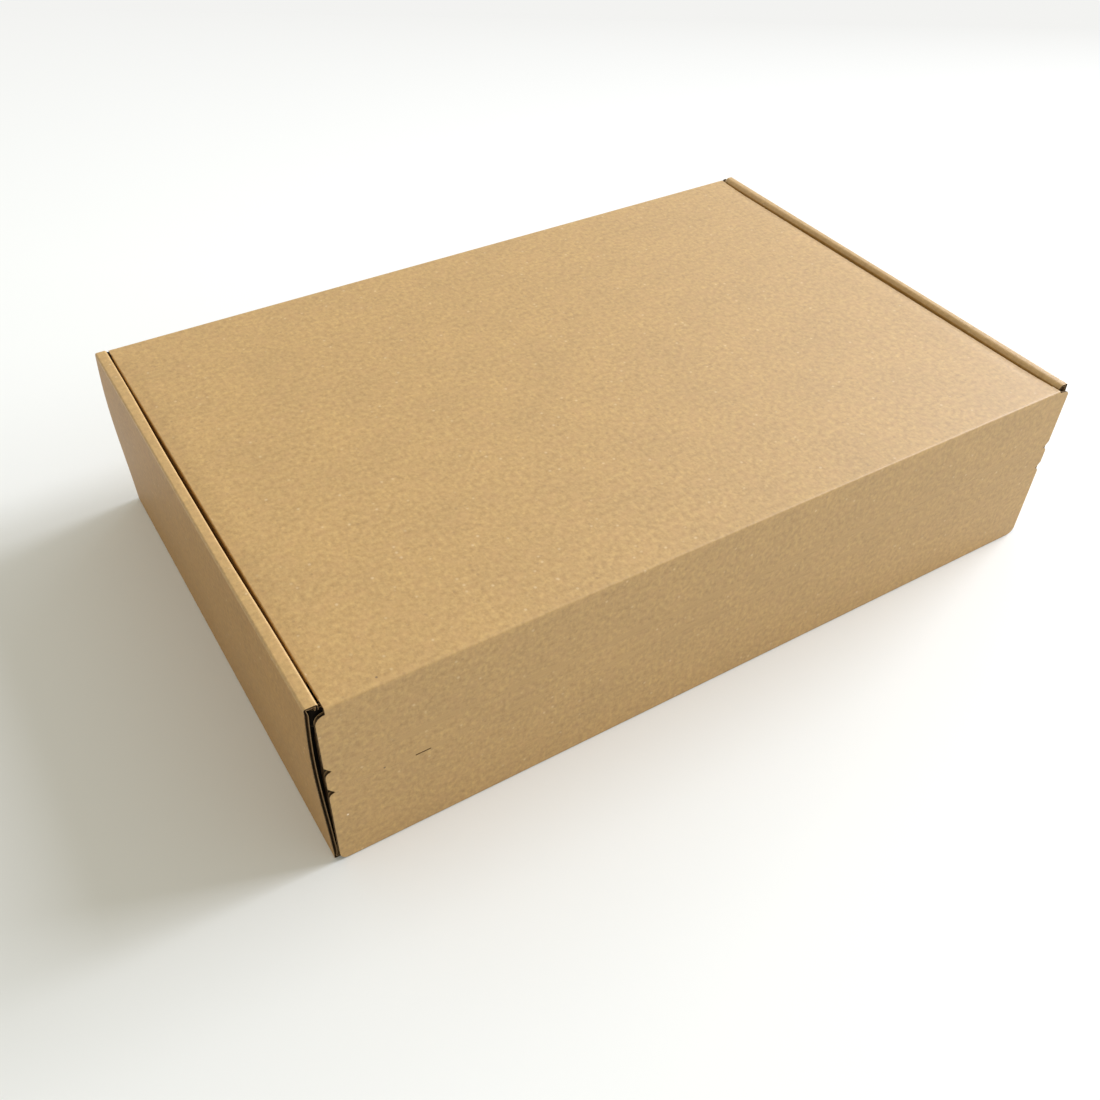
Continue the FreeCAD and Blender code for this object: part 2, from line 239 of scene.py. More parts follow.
def resample(stations, step):
    """The same path with even steps of length, for the fluted medium."""
    out = []
    count = max(1, round((stations[-1].along - stations[0].along) / step))
    index = 0
    for along in between(stations[0].along, stations[-1].along, count):
        while index < len(stations) - 2 and stations[index + 1].along < along:
            index += 1
        a, b = stations[index], stations[index + 1]
        share = (along - a.along) / max(1e-9, b.along - a.along)
        normal = Vector((a.nu + (b.nu - a.nu) * share, a.nv + (b.nv - a.nv) * share)).normalized()
        crease = a.crease + (b.crease - a.crease) * share
        u, v = a.u + (b.u - a.u) * share, a.v + (b.v - a.v) * share
        out.append(Station(u, v, normal.x, normal.y, along, crease))
    return out


# How each run of board is placed, with the ways in which the real box has given way
def lid_drop(across, along_y):
    """The lid's long edges are pulled down a little by its wings."""
    reach = ease((abs(across) - (LID_HALF - DIP_REACH)) / DIP_REACH)
    return LID_DIP * reach * ease((BACK - DIP_END - abs(along_y)) / DIP_FADE)


def wall_draw(across, height):
    """The front wall's corners are drawn back from the flap, less so at the top."""
    drawn = WALL_DRAW * ease((abs(across) - DRAW_START) / DRAW_FADE) * ease(height / DRAW_FOOT)
    return drawn * (1 - DRAW_LOST * ease((height - DRAW_TOP) / DRAW_TOP_FADE))


def main_place(station, across, depth):
    """The long run folds round axes along X: u is Y and v is Z."""
    depth *= station.squeeze
    y, z = station.u - station.nu * depth, station.v - station.nv * depth
    if z > LID_UNDER - 1:
        z -= lid_drop(across, y)
    return Vector((across, y, z))


def tray_place(station, across, depth):
    """The tray's run: front wall drawn back at its corners, back wall standing up beside the lid."""
    point = main_place(station, across, depth)
    if station.u < 0 < station.v:
        point.y += wall_draw(across, station.v)
    elif station.u > 0:
        beside_lid = ease((abs(across) - LID_HALF) / RISE_WIDTH)
        point.z += CORNER_RISE * beside_lid * ease((station.v - WALL_TOP + RISE_DEPTH) / RISE_DEPTH)
    return point


def side_shift(station, along_y, hand):
    """Outward shift of a side wall: bowed panel, tucked foot and bent strip."""
    rise = max(0.0, station.v / SIDE_TOP)
    if station.v < FOLD + TINY:
        return -FOOT_TUCK * (station.u - BOTTOM_HALF) / (SIDE_OUT - BOTTOM_HALF)
    inner = max(0.0, min(1.0, (SIDE_OUT - station.u) / (SIDE_OUT - PANEL_IN)))
    outer = SIDE_BULGE * math.sin(math.pi * rise ** 1.6) - FOOT_TUCK * (1 - rise) ** 2
    if hand < 0 and inner == 0:
        front_end = max(0.0, 1 - (along_y - WALL_FRONT) / NICK_LENGTH)
        back_end = max(0.0, 1 - (SIDE_END - along_y) / BACK_NICK_LENGTH)
        below = 1 - ease((station.v - NICK_HEIGHT + 2) / 3)
        outer -= NICK * front_end * below * ease(station.v / NICK_FOOT)
        outer -= BACK_NICK * back_end * (1 - ease(1 - abs(station.v - NICK_HEIGHT) / BACK_NICK_REACH))
    return (1 - inner) * outer + inner * STRIP_BOW * (1 - ease((abs(along_y) - BOW_FLAT) / BOW_FADE)) * rise


def side_place(hand):
    """The side walls fold round axes along Y: u is X and v is Z."""

    def place(station, across, depth):
        depth *= station.squeeze
        u = station.u - station.nu * depth + side_shift(station, across, hand)
        return Vector((hand * u, across, station.v - station.nv * depth))

    return place


def wing_place(hand):
    """The lid's wings fold round axes along Y and follow the lid's pulled-down edge."""

    def place(station, across, depth):
        depth *= station.squeeze
        u, v = station.u - station.nu * depth, station.v - station.nv * depth
        return Vector((hand * u, across, v - lid_drop(station.u, across)))

    return place


def corner_place(hand, drawn):
    """The corner flaps fold round upright axes: u is X and v is Y."""

    def place(station, across, depth):
        depth *= station.squeeze
        u, v = station.u - station.nu * depth, station.v - station.nv * depth
        back = wall_draw(WALL_HALF, across) * (1 - ease((v - WALL_FRONT) / DRAW_DEPTH)) if drawn else 0.0
        return Vector((hand * u, v + back, across))

    return place


# Material numbers of the sheet, two of them painted shade: the side walls' darker liner and the
# near-black liner in the gaps beside the flap; and where these gaps, the part of the wall seen at its
# shoulders, which keeps the plain liner, and the rolled strips lie
OUTER, INNER_FACE, CUT, SIDE_PAINTED_SHADE, PAINTED_SHADE = range(5)
GAP_START, GAP_LOW, GAP_SPARE = 143.0, 2.0, 0.25
SEEN_LOW, SEEN_HIGH, SEEN_HALF = 58.0, 67.0, 151.8
STRIP_LOW = SIDE_TOP - 1.2


class Shell:
    """Closed skins of liner, with a material for each face and the sheet's own place for each point."""

    def __init__(self):
        self.points, self.faces, self.kinds, self.places, self.creases = [], [], [], [], []

    def add_points(self, stations, rows, place, depth, turned, shift):
        for station, row in zip(stations, rows):
            for across in row:
                self.points.append(place(station, across, depth))
                flute, wave = (station.along, across) if turned else (across, station.along)
                self.places.append(Vector((flute + shift, wave, depth)))
                self.creases.append(station.crease)

    def layer(self, stations, columns, place, top, bottom, kinds, turned=False, shift=0.0):
        """Closed skin between two depths below the outer face.

        columns(station) gives the across positions, as many at every station; kinds are the
        materials of the outer face, inner face and rim; turned is for runs whose flutes follow the path."""
        rows = [columns(s) for s in stations]
        start, first_face = len(self.points), len(self.faces)
        wide, end = len(rows[0]), len(stations) - 1
        self.add_points(stations, rows, place, top, turned, shift)
        self.add_points(stations, rows, place, bottom, turned, shift)
        other = len(stations) * wide

        def at(row, column, inner=0):
            return start + inner * other + row * wide + column

        for r in range(end):
            for c in range(wide - 1):
                self.quad(at(r, c), at(r, c + 1), at(r + 1, c + 1), at(r + 1, c), kinds[0])
                self.quad(at(r, c, 1), at(r + 1, c, 1), at(r + 1, c + 1, 1), at(r, c + 1, 1), kinds[1])
            last = wide - 1
            self.quad(at(r, 0, 1), at(r, 0), at(r + 1, 0), at(r + 1, 0, 1), kinds[2])
            self.quad(at(r, last), at(r, last, 1), at(r + 1, last, 1), at(r + 1, last), kinds[2])
        for c in range(wide - 1):
            self.quad(at(0, c, 1), at(0, c + 1, 1), at(0, c + 1), at(0, c), kinds[2])
            self.quad(at(end, c), at(end, c + 1), at(end, c + 1, 1), at(end, c, 1), kinds[2])

        middle = rows[0][wide // 2]
        outward = place(stations[0], middle, -0.1) - place(stations[0], middle, 0.1)
        a, b, c = (self.points[i] for i in self.faces[first_face + 2 * (wide // 2 - 1)][:3])
        if (b - a).cross(c - a).dot(outward) < 0:
            self.faces[first_face:] = [tuple(reversed(face)) for face in self.faces[first_face:]]

    def quad(self, a, b, c, d, kind):
        """One face with its material number."""
        self.faces.append((a, b, c, d))
        self.kinds.append(kind)

    def liners(self, stations, columns, place, turned=False, shift=0.0, outer=OUTER):
        """Outer and inner liner of one run of board."""
        self.layer(stations, columns, place, 0.0, LINER, (outer, INNER_FACE, CUT), turned, shift)
        plain = (INNER_FACE, INNER_FACE, CUT)
        self.layer(stations, columns, place, BOARD - LINER, BOARD, plain, turned, shift)


class Ribbon:
    """Flat strips at mid depth, from which the fluted medium is made."""

    def __init__(self):
        self.points, self.faces, self.facing, self.wave = [], [], [], []

    def strip(self, stations, columns, place, turned=False):
        """Strip at mid depth; facing is half the way through the board, wave the place along the waves."""
        rows = [columns(s) for s in stations]
        start, first_face, wide = len(self.points), len(self.faces), len(rows[0])
        for station, row in zip(stations, rows):
            for across in row:
                outer, inner = (place(station, across, depth) for depth in (LINER, BOARD - LINER))
                self.points.append((outer + inner) / 2)
                self.facing.append((outer - inner) / 2)
                self.wave.append(across if turned else station.along)
        for r in range(len(stations) - 1):
            for c in range(wide - 1):
                low = start + r * wide + c
                self.faces.append((low, low + 1, low + wide + 1, low + wide))
        a, b, c = (self.points[i] for i in self.faces[first_face][:3])
        if (b - a).cross(c - a).dot(self.facing[self.faces[first_face][0]]) < 0:
            self.faces[first_face:] = [tuple(reversed(face)) for face in self.faces[first_face:]]


# Outline of the front flap
def flap_edges(height):
    """Left and right ends of the flap at a height, with its notches and round corners."""
    share = (SHOULDER - height) / (SHOULDER - FLAP_LIFT)
    inset, shoulder = 0.0, 0.0
    below_shoulder = SHOULDER - height
    if below_shoulder < SHOULDER_ROUND:
        fall = SHOULDER_ROUND - below_shoulder
        shoulder = SHOULDER_ROUND - math.sqrt(max(0.0, SHOULDER_ROUND ** 2 - fall ** 2))
    above_foot = height - FLAP_LIFT
    if above_foot < FLAP_ROUND:
        rise = FLAP_ROUND - above_foot
        inset = FLAP_ROUND - math.sqrt(max(0.0, FLAP_ROUND ** 2 - rise ** 2))
    for line in TEAR_LINES:
        if line <= height < line + NOTCH_RISE:
            inset = NOTCH_DEPTH * (1 - (height - line) / NOTCH_RISE)
        elif line - NOTCH_ROUND < height < line:
            rise = height - (line - NOTCH_ROUND)
            inset = NOTCH_ROUND - math.sqrt(max(0.0, NOTCH_ROUND ** 2 - rise ** 2))
    right = FLAP_RIGHT - FLAP_TAPER * max(0.0, min(1.0, share))
    return FLAP_LEFT + inset + shoulder, right - inset


def flap_heights():
    """Heights of the flap's rows: close together where its outline turns."""
    quarter = [math.pi / 2 * k / ARC_STEPS for k in range(ARC_STEPS + 1)]
    heights = {FLAP_LIFT, SHOULDER - TINY}
    heights.update(FLAP_LIFT + FLAP_ROUND * (1 - math.cos(turn)) for turn in quarter)
    heights.update(SHOULDER - SHOULDER_ROUND * (1 - math.cos(turn)) for turn in quarter[1:])
    for line in TEAR_LINES:
        heights.update((line - TINY, line, line + NOTCH_RISE))
        heights.update(line - NOTCH_ROUND * math.cos(turn) for turn in quarter[:-1])
    level = STEP
    while level < SHOULDER - SHOULDER_ROUND:
        if min(abs(level - h) for h in heights) > STEP / 4:
            heights.add(level)
        level += STEP
    return sorted(heights)


def flap_columns(station):
    """Across positions of the flap's liners."""
    left, right = flap_edges(station.v)
    inside = between(*FLAP_MIDDLE, FLAP_COLUMNS)
    return [left, (left + inside[0]) / 2] + inside + [(right + inside[-1]) / 2, right]


def flap_flutes(station):
    """Across positions of the flap's medium."""
    left, right = flap_edges(station.v)
    return [left, left + FLAP_BAND, 0.0, right - FLAP_BAND, right]


def flap_stations():
    """The flap's path, from its foot up to its shoulders."""
    return [Station(FRONT, h, -1.0, 0.0, h - FLAP_LIFT) for h in flap_heights()]


# Runs of board
def insert_stations(stations, places):
    """Adds flat stations at exact u places on the lid, on both sides of a step."""
    out = []
    for before, after in zip(stations, stations[1:]):
        out.append(before)
        flat = abs(before.nu) < 1e-6 and abs(after.nu) < 1e-6
        for place in sorted(places, reverse=before.u > after.u):
            low, high = sorted((before.u, after.u))
            if flat and low < place < high:
                share = (place - before.u) / (after.u - before.u)
                along = before.along + (after.along - before.along) * share
                crease = before.crease + (after.crease - before.crease) * share
                out.append(Station(place, before.v, 0.0, before.nv, along, crease))
    out.append(stations[-1])
    return out


def top_columns(station):
    """The lid's sides turn down into the wings, apart from a short stretch at each end."""
    half = LID_HALF
    if WING_START < station.u < WING_FINISH and station.v > LID_TOP - TINY:
        half = LID_HALF - LID_FOLD
    if station.nu < -0.99:
        rise = (station.v - SHOULDER) / (LID_TOP - FOLD - SHOULDER)
        right = half + (FLAP_RIGHT - half) * math.sqrt(max(0.0, 1 - rise ** 2))
        return fine_ends(-half, right, LONG_COLUMNS)
    return fine_ends(-half, half, LONG_COLUMNS)


def tray_columns(station):
    """The walls are wider than the bottom, whose sides belong to the side walls."""
    half = WALL_HALF if station.v > FOLD else BOTTOM_HALF
    return fine_ends(-half, half, LONG_COLUMNS)


def top_run(shell, ribbon):
    """From the flap's shoulders over the lid and round the hinge to the back wall's top."""
    run = walk([(FRONT, SHOULDER), (FRONT, LID_TOP), (BACK, LID_TOP), (BACK, WALL_TOP)], 1, STEP)
    for station in run:
        station.along += SHOULDER - FLAP_LIFT
    steps = [end + side * TINY / 2 for end in (WING_START, WING_FINISH) for side in (-1, 1)]
    run = insert_stations(run, steps)
    shell.liners(run, top_columns, main_place)
    ribbon.strip(resample(run, FLUTE_STEP),
                 lambda s: between(top_columns(s)[0], top_columns(s)[-1], 6), main_place)


def tray_run(shell, ribbon):
    """Back wall, bottom and front wall."""
    run = walk([(BACK, WALL_TOP), (BACK, 0.0), (WALL_FRONT, 0.0), (WALL_FRONT, WALL_TOP)], 1, STEP)
    shell.liners(run, tray_columns, tray_place, shift=TRAY_SHIFT)
    bent = [138.0, 142.0, 146.0, WALL_HALF]
    places = [-place for place in reversed(bent)] + [0.0] + bent
    for side in (1, -1):
        wall = [s for s in run if s.v > FOLD and s.u * side > 0]
        ribbon.strip(resample(wall, FLUTE_STEP), lambda s: places, tray_place)


def wave_bands(low, high):
    """Fine across positions for the medium, in a band at each end of a run."""
    count = round(FLUTE_BAND / FLUTE_STEP)
    width = count * FLUTE_STEP
    return between(low, low + width, count), between(high - width, high, count)


def side_wall(shell, ribbon, hand):
    """Outer panel, rolled strip and lip."""
    place = side_place(hand)
    run = walk([(SLOT_OUT, 0.0), (SIDE_OUT, 0.0), (SIDE_OUT, SIDE_TOP), (PANEL_IN, SIDE_TOP),
                (PANEL_IN, LIP_END)], -1, STEP, [FOLD, FOLD, ROLL[hand]])
    columns = fine_ends(WALL_FRONT, SIDE_END, SIDE_COLUMNS)
    # The outer panels get the side walls' painted-shade liner
    shell.liners(run, lambda s: columns, place, turned=True, shift=hand * SIDE_SHIFT, outer=SIDE_PAINTED_SHADE)
    for band in wave_bands(WALL_FRONT, SIDE_END):
        ribbon.strip(run, lambda s: band, place, turned=True)


def tab_spans():
    """Stretches along a side that its two tabs take."""
    reach = TAB_WIDTH / 2
    return [(end * TAB_SPACING / 2 - reach, end * TAB_SPACING / 2 + reach) for end in (-1, 1)]


def bridge_spans():
    """Stretches of the bottom's side that are left between the slots."""
    slots = [end for low, high in tab_spans() for end in (low - SLOT_GAP, high + SLOT_GAP)]
    ends = [WALL_FRONT] + slots + [SIDE_END]
    return list(zip(ends[::2], ends[1::2]))


def bottom_side(shell, hand):
    """Bottom between its middle and the slots, with the bridges between the slots."""
    place = side_place(hand)
    spans = [((BOTTOM_HALF, SLOT_IN), (WALL_FRONT, SIDE_END))]
    spans += [((SLOT_IN, SLOT_OUT), span) for span in bridge_spans()]
    for (inner, outer), (start, end) in spans:
        run = walk([(inner, 0.0), (outer, 0.0)], -1, STEP)
        columns = between(start, end, BOTTOM_COLUMNS)
        shell.liners(run, lambda s: columns, place, turned=True, shift=hand * SIDE_SHIFT)


def inner_panel(shell, ribbon, hand):
    """Inner side panel below the lip, with its two locking tabs."""
    place = side_place(hand)
    panel = walk([(PANEL_IN, LIP_END), (PANEL_IN, PANEL_END)], -1, STEP)
    columns = fine_ends(PANEL_FRONT, PANEL_BACK, SIDE_COLUMNS)
    shell.liners(panel, lambda s: columns, place, turned=True, shift=hand * SIDE_SHIFT)
    for band in wave_bands(PANEL_FRONT, PANEL_BACK):
        ribbon.strip(panel, lambda s: band, place, turned=True)
    for start, end in tab_spans():
        tab = [Station(PANEL_IN, v, -1.0, 0.0, SIDE_TOP - v) for v in (PANEL_END, TAB_LIFT)]
        shell.liners(tab, lambda s: between(start, end, 4), place, turned=True, shift=hand * SIDE_SHIFT)
        places = between(start, end, round(TAB_WIDTH / FLUTE_STEP))
        ribbon.strip(tab, lambda s: places, place, turned=True)


def corner_flap(shell, ribbon, hand, wall, inward):
    """Corner flap folded from the end of the front or back wall in between the side layers."""
    place = corner_place(hand, wall < 0)
    run = walk([(WALL_HALF, wall), (CORNER_OUT, wall), (CORNER_OUT, wall + inward * CORNER_LENGTH)],
               -inward, STEP, [2 * FOLD])
    columns = fine_ends(PANEL_END, WALL_TOP, 6)
    shell.liners(run, lambda s: columns, place, turned=True, shift=CORNER_SHIFT + hand * HAND_SHIFT)
    band = wave_bands(PANEL_END, WALL_TOP)[1]
    ribbon.strip(run, lambda s: band, place, turned=True)


def wing(shell, hand):
    """Side wing of the lid, folded down inside the inner panel."""
    run = walk([(LID_HALF - LID_FOLD - TINY, LID_TOP), (LID_HALF, LID_TOP), (LID_HALF, WING_END)], 1, STEP,
               [LID_FOLD])
    taper_top = LID_UNDER - 2 * BOARD

    def columns(station):
        cut = max(0.0, taper_top - station.v) / (taper_top - WING_END) * WING_TAPER
        return fine_ends(WING_START + cut, WING_FINISH - cut, SIDE_COLUMNS)

    shell.liners(run, columns, wing_place(hand), turned=True, shift=WING_SHIFT + hand * HAND_SHIFT)


def paint_recess_shade(shell):
    """Paints shade on the wall in the deep gaps at the flap's ends, as the near-black liner,
    and gives the rolled strips the lid's liner in place of the side walls' painted-shade liner.
    """
    for index, corners in enumerate(shell.faces):
        centre = sum((shell.points[c] for c in corners), Vector()) / len(corners)
        # Painted shade covers the gap but for the wall's shoulders seen beside the flap, which keep the
        # plain liner
        seen = abs(centre.x) < GAP_START or SEEN_LOW < centre.z < SEEN_HIGH and abs(centre.x) < SEEN_HALF
        recess_shade_zone = GAP_LOW < centre.z < LID_UNDER + GAP_SPARE and FRONT + 1 < centre.y < FRONT + DRAW_DEPTH
        if recess_shade_zone and not seen and shell.kinds[index] == OUTER:
            shell.kinds[index] = PAINTED_SHADE
        # The rolled strips take the plain liner, not the side walls' painted shade
        if shell.kinds[index] == SIDE_PAINTED_SHADE and centre.z > STRIP_LOW:
            shell.kinds[index] = OUTER


# From lists to meshes
def new_piece(name, points, faces, materials=()):
    """Object made from lists in millimetres."""
    mesh = bpy.data.meshes.new(name)
    mesh.from_pydata([p * MM for p in points], [], faces)
    for material in materials:
        mesh.materials.append(material)
    piece = bpy.data.objects.new(name, mesh)
    bpy.context.scene.collection.objects.link(piece)
    return piece


def liner_piece(name, shell, materials):
    """Liners as an object, with the sheet's own place and the nearness to a fold as attributes."""
    piece = new_piece(name, shell.points, shell.faces, materials)
    mesh = piece.data
    mesh.polygons.foreach_set("material_index", shell.kinds)
    place = mesh.attributes.new("sheet_place", "FLOAT_VECTOR", "POINT")
    place.data.foreach_set("vector", [c * MM for spot in shell.places for c in spot])
    # Nearness to a fold, which pales the liner: broken fibres and a painted highlight on the ridge
    wear_and_highlight = mesh.attributes.new("fold_wear_and_highlight", "FLOAT", "POINT")
    wear_and_highlight.data.foreach_set("value", shell.creases)
    mesh.update()
    return piece


def apply_tree(piece, tree, values):
    """Runs a node tree on a piece, puts the result in its mesh and removes the modifier."""
    modifier = piece.modifiers.new(tree.name, "NODES")
    modifier.node_group = tree
    for item in tree.interface.items_tree:
        if item.item_type == "SOCKET" and item.in_out == "INPUT" and item.name in values:
            modifier[item.identifier] = values[item.name]
    bpy.context.view_layer.update()
    made = piece.evaluated_get(bpy.context.evaluated_depsgraph_get())
    mesh = bpy.data.meshes.new_from_object(made)
    piece.modifiers.remove(modifier)
    piece.data = mesh


def new_tree(name, inputs):
    """Geometry tree with named inputs, each (name, kind, default)."""
    tree = bpy.data.node_groups.new(name, "GeometryNodeTree")
    tree.interface.new_socket("Geometry", in_out="INPUT", socket_type="NodeSocketGeometry")
    for label, kind, default in inputs:
        socket = tree.interface.new_socket(label, in_out="INPUT", socket_type=f"NodeSocket{kind}")
        if default is not None:
            socket.default_value = default
    tree.interface.new_socket("Geometry", in_out="OUTPUT", socket_type="NodeSocketGeometry")
    return tree, tree.nodes.new("NodeGroupInput"), tree.nodes.new("NodeGroupOutput")


def finish_tree(tree, geometry, material, output, selection=None):
    """Ends a tree: real geometry with its material, on the selection only where there is one."""
    real = add_node(tree, "GeometryNodeRealizeInstances", {"Geometry": geometry})
    links = {"Geometry": real.outputs[0], "Material": material}
    if selection is not None:
        links["Selection"] = selection
    done = add_node(tree, "GeometryNodeSetMaterial", links)
    tree.links.new(done.outputs[0], output.inputs[0])


def flute_tree():
    """Bends flat strips into the medium's waves and gives them the paper's thickness."""
    tree, source, output = new_tree("fluted_medium", [
        ("Pitch", "Float", FLUTE_PITCH),
        ("Swing", "Float", 0.84),
        ("Paper", "Float", MEDIUM * MM),
        ("Ragged", "Float", 0.1),
        ("Finish", "Material", None),
    ])
    facing = add_node(tree, "GeometryNodeInputNamedAttribute", data_type="FLOAT_VECTOR", Name="facing")
    wave = add_node(tree, "GeometryNodeInputNamedAttribute", data_type="FLOAT", Name="wave")
    ragged = add_node(tree, "ShaderNodeTexNoise", noise_dimensions="3D", Scale=260.0, Detail=1.0)
    uneven = calculate(tree, "SUBTRACT", ragged.outputs[0], 0.5)
    waver = calculate(tree, "MULTIPLY", uneven, source.outputs["Ragged"])
    turns = calculate(tree, "DIVIDE", wave.outputs[0], source.outputs["Pitch"])
    sine = calculate(tree, "SINE", calculate(tree, "MULTIPLY", turns, 2 * math.pi))
    swing = calculate(tree, "MULTIPLY_ADD", sine, source.outputs["Swing"], waver)
    offset = add_node(tree, "ShaderNodeVectorMath", {0: facing.outputs[0], "Scale": swing},
                      operation="SCALE")
    waved = add_node(tree, "GeometryNodeSetPosition",
                     {"Geometry": source.outputs["Geometry"], "Offset": offset.outputs[0]})
    thick = add_node(tree, "GeometryNodeExtrudeMesh",
                     {"Mesh": waved.outputs[0], "Offset Scale": source.outputs["Paper"]},
                     mode="FACES", Individual=False)
    back = add_node(tree, "GeometryNodeFlipFaces", {"Mesh": waved.outputs[0]})
    joined = add_node(tree, "GeometryNodeJoinGeometry")
    tree.links.new(thick.outputs[0], joined.inputs[0])
    tree.links.new(back.outputs[0], joined.inputs[0])
    closed = add_node(tree, "GeometryNodeMergeByDistance", {"Geometry": joined.outputs[0]}, Distance=1e-6)
    finish_tree(tree, closed.outputs[0], source.outputs["Finish"], output)
    return tree


def tear_tree():
    """Cuts one row of slits into the flap's outer liner; one of them may have torn open."""
    tree, source, output = new_tree("tear_line", [
        ("Start", "Vector", (0.0, 0.0, 0.0)),
        ("Pitch", "Vector", (SLIT_PITCH * MM, 0.0, 0.0)),
        ("Count", "Int", SLIT_COUNT),
        ("Slit", "Vector", (SLIT_LENGTH * MM, 4 * LINER * MM, SLIT_WIDTH * MM)),
        ("Open", "Float", 1.0),
        ("Cut", "Material", None),
        ("Face", "Material", None),
    ])
    line = add_node(tree, "GeometryNodeMeshLine", {"Count": source.outputs["Count"],
                                                   "Start Location": source.outputs["Start"],
                                                   "Offset": source.outputs["Pitch"]}, mode="OFFSET")
    blade = add_node(tree, "GeometryNodeMeshCube", {"Size": source.outputs["Slit"]})
    index = add_node(tree, "GeometryNodeInputIndex")
    torn = add_node(tree, "FunctionNodeCompare", {2: index.outputs[0]}, data_type="INT", operation="EQUAL")
    torn.inputs[3].default_value = TORN_SLIT
    wide = add_node(tree, "GeometryNodeSwitch", {"True": source.outputs["Open"], "Switch": torn.outputs[0]},
                    input_type="FLOAT")
    wide.inputs["False"].default_value = 1.0
    longer = calculate(tree, "MULTIPLY_ADD", wide.outputs[0], TORN_GROWTH, 1 - TORN_GROWTH)
    stretch = add_node(tree, "ShaderNodeCombineXYZ", {"X": longer, "Z": wide.outputs[0]}, Y=1.0)
    blades = add_node(tree, "GeometryNodeInstanceOnPoints",
                      {"Points": line.outputs[0], "Instance": blade.outputs[0], "Scale": stretch.outputs[0]})
    solid = add_node(tree, "GeometryNodeRealizeInstances", {"Geometry": blades.outputs[0]})
    sharp = add_node(tree, "GeometryNodeSetMaterial",
                     {"Geometry": solid.outputs[0], "Material": source.outputs["Cut"]})
    cut = add_node(tree, "GeometryNodeMeshBoolean", {"Mesh 1": source.outputs["Geometry"]},
                   operation="DIFFERENCE", solver="EXACT")
    tree.links.new(sharp.outputs[0], cut.inputs["Mesh 2"])
    normal = add_node(tree, "GeometryNodeInputNormal")
    split = add_node(tree, "ShaderNodeSeparateXYZ", {0: normal.outputs[0]})
    front = add_node(tree, "FunctionNodeCompare", {0: split.outputs[1]}, data_type="FLOAT",
                     operation="LESS_THAN")
    front.inputs[1].default_value = -0.95
    finish_tree(tree, cut.outputs[0], source.outputs["Face"], output, front.outputs[0])
    return tree


def join_pieces(name, pieces):
    """Joins the pieces into the first one."""
    with bpy.context.temp_override(active_object=pieces[0], object=pieces[0], selected_objects=pieces,
                                   selected_editable_objects=pieces):
        bpy.ops.object.join()
    pieces[0].name = name
    pieces[0].data.name = name
    return pieces[0]


# Materials
def new_material(name, roughness, gloss=0.5):
    """A material with its node tree and its shader."""
    material = bpy.data.materials.new(name)
    material.use_nodes = True
    shader = material.node_tree.nodes["Principled BSDF"]
    shader.inputs["Roughness"].default_value = roughness
    shader.inputs["Specular IOR Level"].default_value = gloss
    return material, material.node_tree, shader


def sheet_pattern(tree, scale, detail, roughness=0.55, stretch=(1.0, 1.0, 1.0)):
    """Noise in the sheet's own plane; scale is in features per metre."""
    place = add_node(tree, "ShaderNodeAttribute", attribute_name="sheet_place")
    aim = add_node(tree, "ShaderNodeMapping", {"Vector": place.outputs["Vector"]}, Scale=stretch)
    return add_node(tree, "ShaderNodeTexNoise", {"Vector": aim.outputs[0]}, Scale=scale, Detail=detail,
                    Roughness=roughness)


def tone(tree, value, low, high, dark, light):
    """Maps a value between two levels to a factor."""
    node = add_node(tree, "ShaderNodeMapRange", {"Value": value}, clamp=True)
    for name, number in (("From Min", low), ("From Max", high), ("To Min", dark), ("To Max", light)):
        node.inputs[name].default_value = number
    return node.outputs[0]


def blend_colour(tree, factor, first, second, mode="MIX"):
    """Colour between two colours; factor and colours are values or sockets."""
    node = add_node(tree, "ShaderNodeMix", data_type="RGBA", blend_type=mode)
    fill_inputs(tree, node, ((0, factor), (6, first), (7, second)))
    return node.outputs[2]


def flecks(tree, cell, size, rarity, strength):
    """Sparse round flecks: cell is their mean spacing in millimetres, size a share of it."""
    place = add_node(tree, "ShaderNodeAttribute", attribute_name="sheet_place")
    cells = add_node(tree, "ShaderNodeTexVoronoi", {"Vector": place.outputs["Vector"]}, Scale=1000 / cell)
    near = tone(tree, cells.outputs["Distance"], size * 0.5, size, strength, 0.0)
    split = add_node(tree, "ShaderNodeSeparateColor", {0: cells.outputs["Color"]})
    chosen = tone(tree, split.outputs[0], rarity - 0.02, rarity + 0.1, 0.0, 1.0)
    return calculate(tree, "MULTIPLY", near, chosen)


